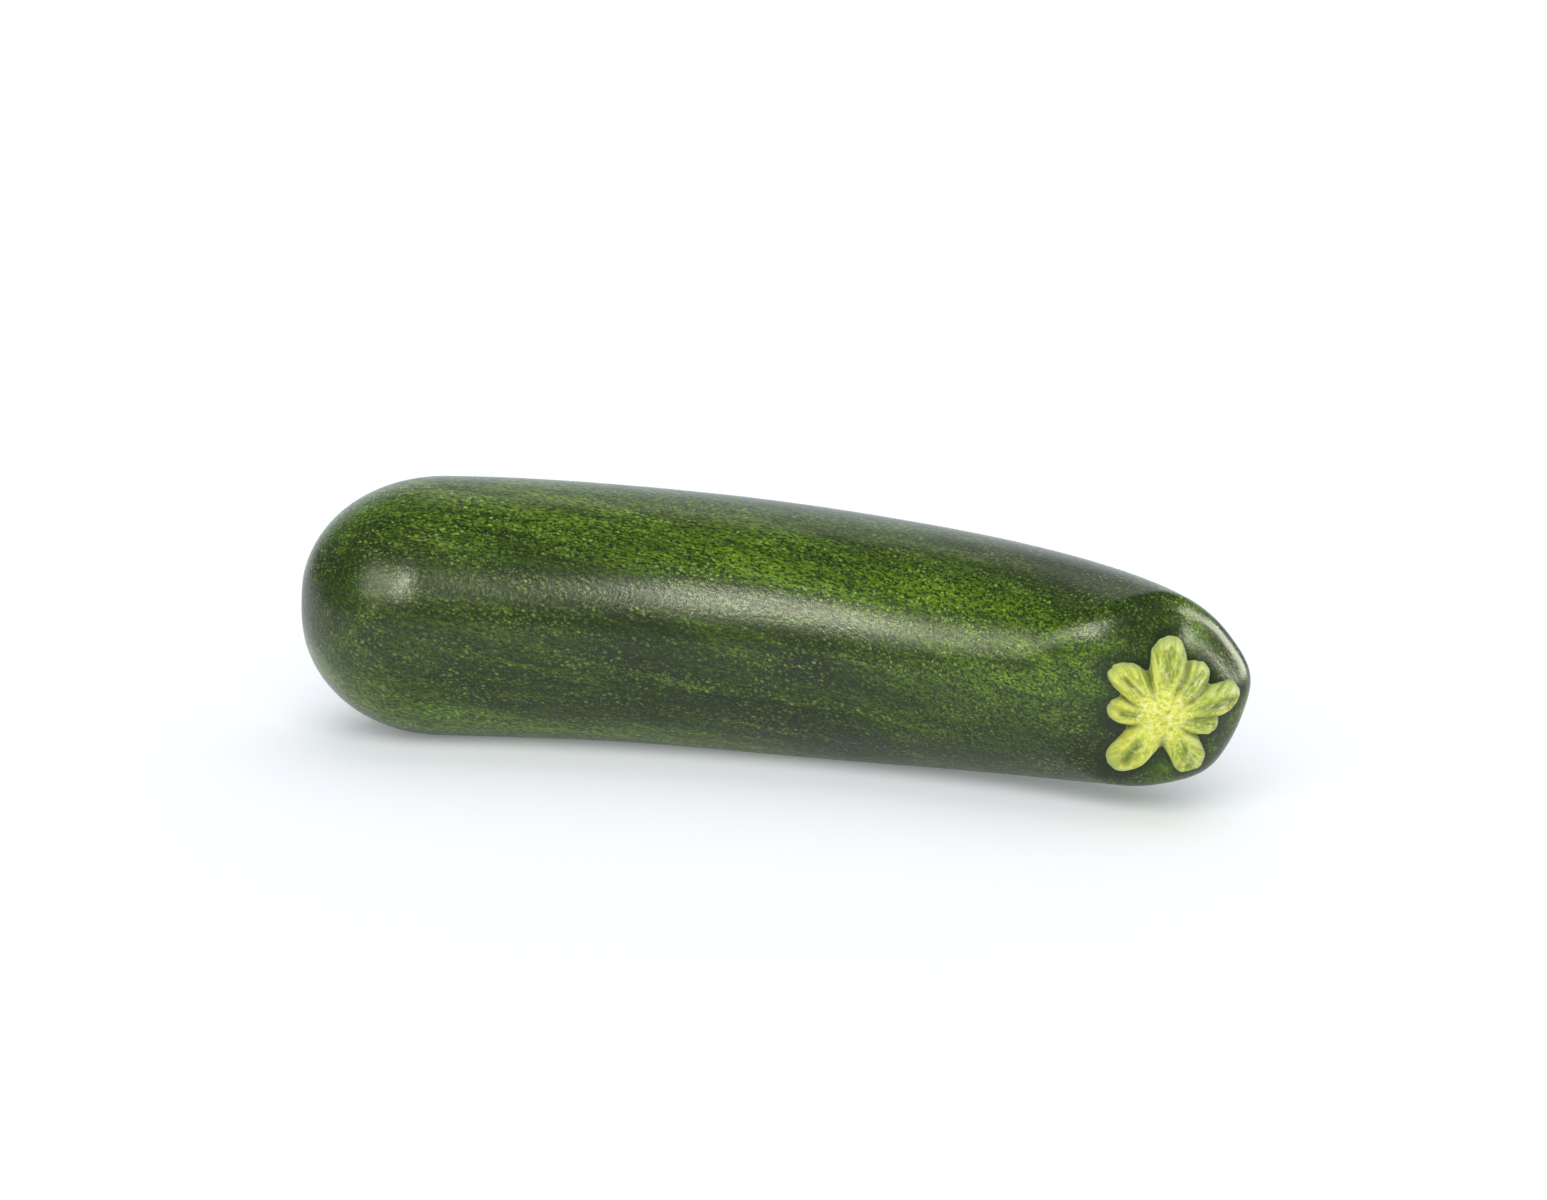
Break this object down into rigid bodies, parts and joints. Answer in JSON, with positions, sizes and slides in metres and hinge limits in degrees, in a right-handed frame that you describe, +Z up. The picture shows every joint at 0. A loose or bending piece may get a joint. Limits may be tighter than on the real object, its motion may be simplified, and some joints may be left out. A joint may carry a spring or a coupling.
{
  "type": "zucchini",
  "caption": "Whole dark green zucchini with a gentle bend, a rounded flower end and a pale, lobed, star-shaped stem stub. Lies on its side.",
  "frame": {"origin": "middle of the bounding box in plan, on the surface that the zucchini lies on", "axes": "+X along the fruit towards its stem end, +Z up; the stem end hooks round towards -Y"},
  "size_m": [0.1916, 0.058, 0.05],
  "materials": {
    "skin": "satin",
    "stem": "matte"
  },
  "bodies": {
    "root": {"fruit": "skin", "stem": "stem"}
  },
  "joints": []
}
